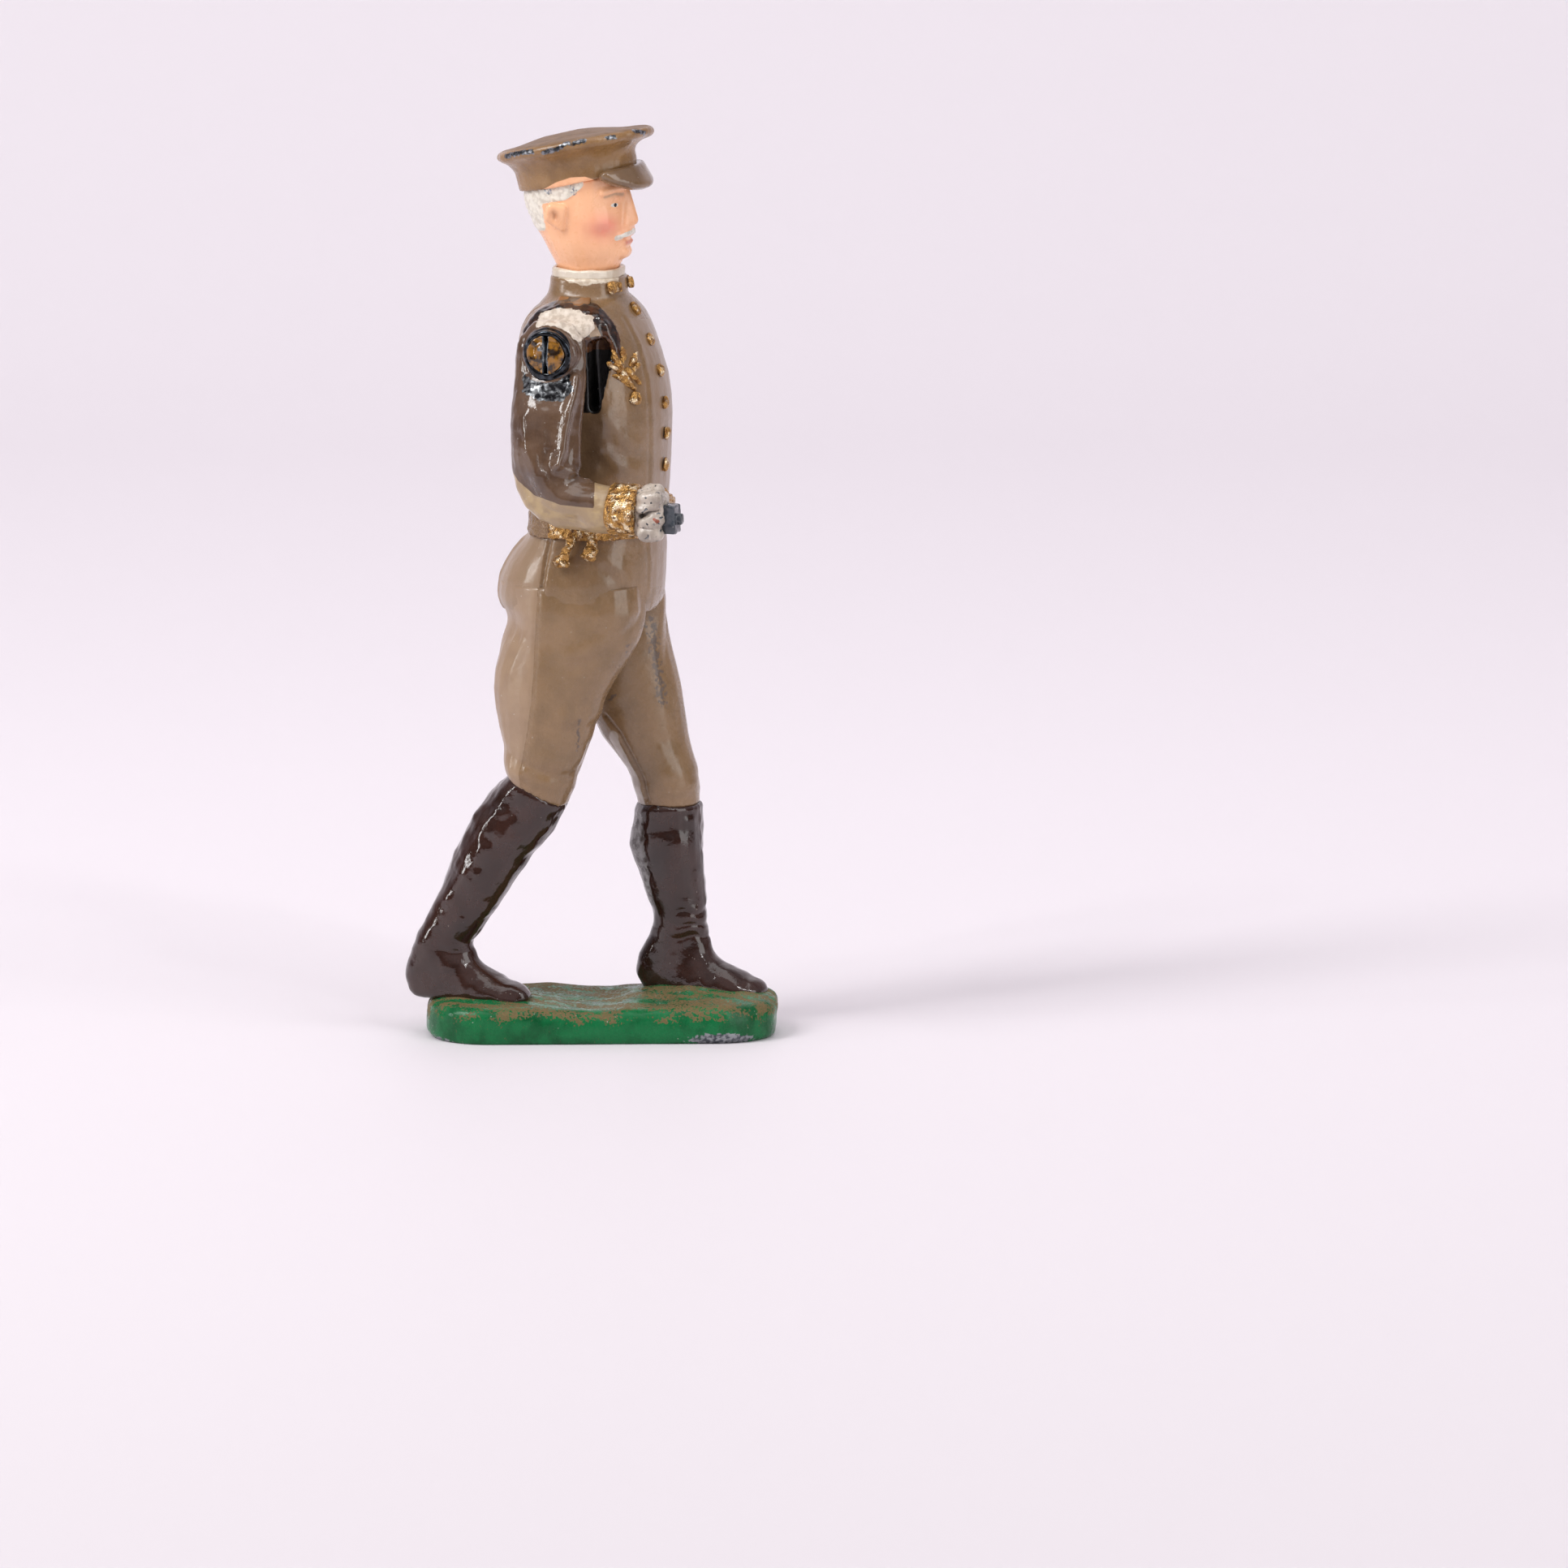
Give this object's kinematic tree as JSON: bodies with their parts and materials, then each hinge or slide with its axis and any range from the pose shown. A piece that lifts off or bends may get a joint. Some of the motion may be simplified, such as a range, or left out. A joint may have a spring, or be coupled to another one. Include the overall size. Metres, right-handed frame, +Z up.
{
  "type": "toy soldier figure",
  "caption": "Painted cast-metal toy officer marching on an oblong base, in peaked cap, tunic, breeches and long boots, with a right arm that swings on a shoulder stud.",
  "frame": {"origin": "middle of the flat underside of the base plate, on the table", "axes": "+X the way the figure marches, +Y its left hand side, +Z up"},
  "size_m": [0.0235, 0.0195, 0.0595],
  "materials": {
    "base_green": "gloss enamel, worn",
    "boot_brown": "gloss enamel",
    "breeches_khaki": "satin enamel",
    "tunic_khaki": "satin enamel",
    "gold_paint": "bronze paint, worn",
    "strap_brown": "satin enamel",
    "cream_white": "satin enamel",
    "flesh": "satin enamel",
    "cap_khaki": "satin enamel, chipped rim",
    "peak_brown": "gloss enamel",
    "bare_lead": "dull cast metal",
    "sleeve_brown": "gloss enamel"
  },
  "bodies": {
    "figure": {"base_plate": "base_green", "right_boot": "boot_brown", "left_boot": "boot_brown", "breeches": "breeches_khaki", "tunic": "tunic_khaki", "belt": "gold_paint", "belt_pendants": "gold_paint", "buttons": "gold_paint", "breast_star": "gold_paint", "shoulder_straps": "strap_brown", "collar": "cream_white", "collar_tabs": "gold_paint", "left_cuff": "gold_paint", "left_glove": "cream_white", "head": "flesh", "cap_crown": "cap_khaki", "cap_peak": "peak_brown", "shoulder_stud": "bare_lead"},
    "right_arm": {"right_sleeve": "sleeve_brown", "right_cuff": "gold_paint", "right_glove": "cream_white", "grip_stub": "bare_lead"}
  },
  "joints": [
    {"name": "right_arm_swing", "type": "hinge", "parent": "figure", "child": "right_arm", "pos_m": [-0.0012, -0.00638, 0.04559], "axis": [0, -1, 0], "continuous": true}
  ]
}
